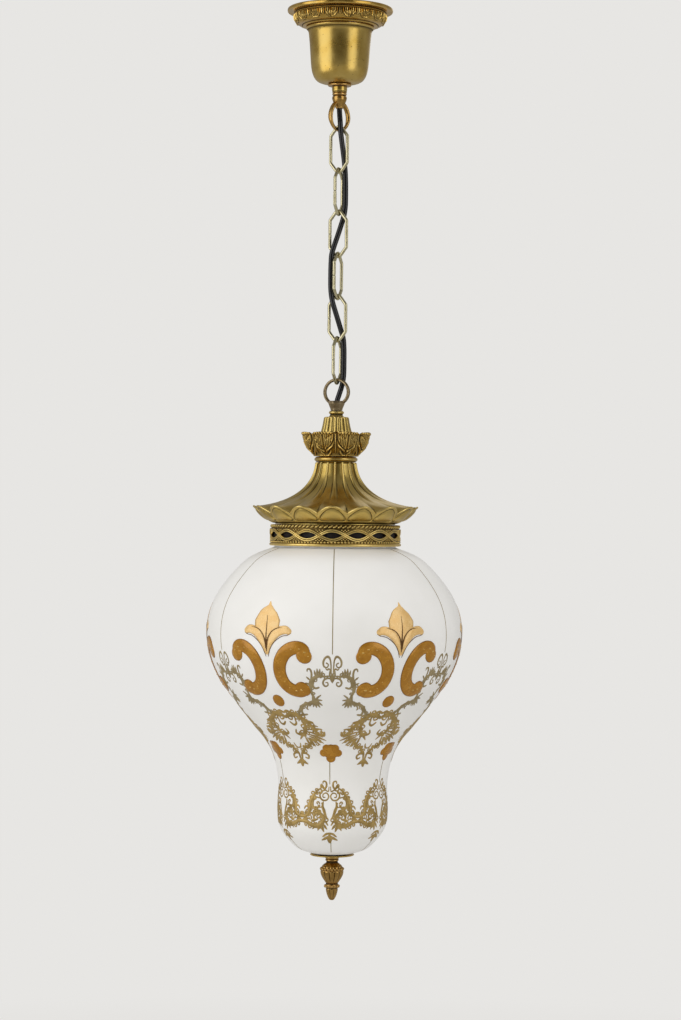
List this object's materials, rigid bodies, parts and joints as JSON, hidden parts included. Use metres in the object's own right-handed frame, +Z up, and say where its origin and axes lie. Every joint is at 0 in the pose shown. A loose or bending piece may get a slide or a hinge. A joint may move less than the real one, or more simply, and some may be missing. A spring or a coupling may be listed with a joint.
{
  "type": "pendant lamp",
  "caption": "Baluster-shaped opal glass pendant lamp in a fluted brass head, hung from a brass ceiling rose on long chain links with a woven flex.",
  "frame": {"origin": "centre of the ceiling plane, on the lamp's axis, where the ceiling rose meets the ceiling", "axes": "+Z up, out of the lamp into the ceiling; +X along the ceiling strap; -Y is the side the picture was taken from"},
  "size_m": [0.2794, 0.2794, 0.9802],
  "materials": {
    "brass": "polished, slightly aged",
    "chain_brass": "pale, softly hammered",
    "steel": "plated",
    "flex_sheath": "smooth black",
    "core_brown": "plain",
    "core_blue": "plain",
    "opal": "opal glass with gilt transfers and raised enamel",
    "porcelain": "glazed",
    "felt": "felt",
    "clear": "clear"
  },
  "bodies": {
    "ceiling_mount": {"ceiling_strap": "steel", "strap_nut": "steel", "lock_nut": "steel", "hang_pipe": "steel", "rose_rim": "brass", "rose_cup": "brass", "seat_washer": "brass", "neck_collar": "brass", "top_loop": "brass", "flex_rose": "flex_sheath", "terminal_block": "porcelain", "lead_live": "core_brown", "lead_neutral": "core_blue"},
    "link_1": {"chain_link_1": "chain_brass", "flex_link_1": "flex_sheath"},
    "link_2": {"chain_link_2": "chain_brass", "flex_link_2": "flex_sheath"},
    "link_3": {"chain_link_3": "chain_brass", "flex_link_3": "flex_sheath"},
    "link_4": {"chain_link_4": "chain_brass", "flex_link_4": "flex_sheath"},
    "link_5": {"chain_link_5": "chain_brass", "flex_link_5": "flex_sheath"},
    "link_6": {"chain_link_6": "chain_brass", "flex_link_6": "flex_sheath"},
    "pendant": {"hanging_ring": "brass", "foot_bead": "brass", "fluted_cap": "brass", "leaf_crown": "brass", "neck_bead": "brass", "fluted_bell": "brass", "pierced_gallery": "brass", "gallery_plate": "brass", "neck_gasket": "felt", "stem_pipe": "steel", "stem_nut": "steel", "flex_pendant": "flex_sheath", "rod_yoke": "steel", "lampholder_bracket": "steel", "rod_nut": "steel", "centre_rod": "steel", "lampholder_a": "porcelain", "holder_nut_a": "steel", "screw_shell_a": "brass", "centre_contact_a": "brass", "holder_lead_a": "porcelain", "lampholder_b": "porcelain", "holder_nut_b": "steel", "screw_shell_b": "brass", "centre_contact_b": "brass", "holder_lead_b": "porcelain"},
    "bulb_a": {"bulb_cap_a": "brass", "bulb_glass_a": "clear"},
    "bulb_b": {"bulb_cap_b": "brass", "bulb_glass_b": "clear"},
    "shade": {"glass_shade": "opal", "bottom_gasket": "felt", "bottom_disc": "brass"},
    "bottom_finial": {"finial": "brass"}
  },
  "joints": [
    {"name": "chain_hinge_1", "type": "hinge", "parent": "ceiling_mount", "child": "link_1", "pos_m": [0, 0, -0.1334], "axis": [0.682, 0.7314, 0], "range_deg": [-25, 25], "deforming": ["flex_rose", "flex_link_1"]},
    {"name": "chain_hinge_2", "type": "hinge", "parent": "link_1", "child": "link_2", "pos_m": [0, 0, -0.1797], "axis": [0.9205, -0.3907, 0], "range_deg": [-25, 25], "deforming": ["flex_link_2"]},
    {"name": "chain_hinge_3", "type": "hinge", "parent": "link_2", "child": "link_3", "pos_m": [0, 0, -0.2261], "axis": [0.4067, 0.9136, 0], "range_deg": [-25, 25], "deforming": ["flex_link_3"]},
    {"name": "chain_hinge_4", "type": "hinge", "parent": "link_3", "child": "link_4", "pos_m": [0, 0, -0.2725], "axis": [0.9205, -0.3907, 0], "range_deg": [-25, 25], "deforming": ["flex_link_4"]},
    {"name": "chain_hinge_5", "type": "hinge", "parent": "link_4", "child": "link_5", "pos_m": [0, 0, -0.3189], "axis": [0.4067, 0.9136, 0], "range_deg": [-25, 25], "deforming": ["flex_link_5"]},
    {"name": "chain_hinge_6", "type": "hinge", "parent": "link_5", "child": "link_6", "pos_m": [0, 0, -0.3653], "axis": [0.9205, -0.3907, 0], "range_deg": [-25, 25], "deforming": ["flex_link_6"]},
    {"name": "chain_hinge_7", "type": "hinge", "parent": "link_6", "child": "pendant", "pos_m": [0, 0, -0.4117], "axis": [0.4067, 0.9136, 0], "range_deg": [-25, 25], "deforming": ["flex_pendant"]},
    {"name": "shade_lower", "type": "slide", "parent": "pendant", "child": "shade", "axis": [0, 0, -1], "range_m": [0, 0.38]},
    {"name": "finial_turn", "type": "hinge", "parent": "shade", "child": "bottom_finial", "pos_m": [0, 0, -0.932], "axis": [0, 0, 1], "continuous": true},
    {"name": "bulb_a_out", "type": "slide", "parent": "pendant", "child": "bulb_a", "axis": [0, 0, -1], "range_m": [0, 0.03]},
    {"name": "bulb_b_out", "type": "slide", "parent": "pendant", "child": "bulb_b", "axis": [0, 0, -1], "range_m": [0, 0.03]}
  ]
}
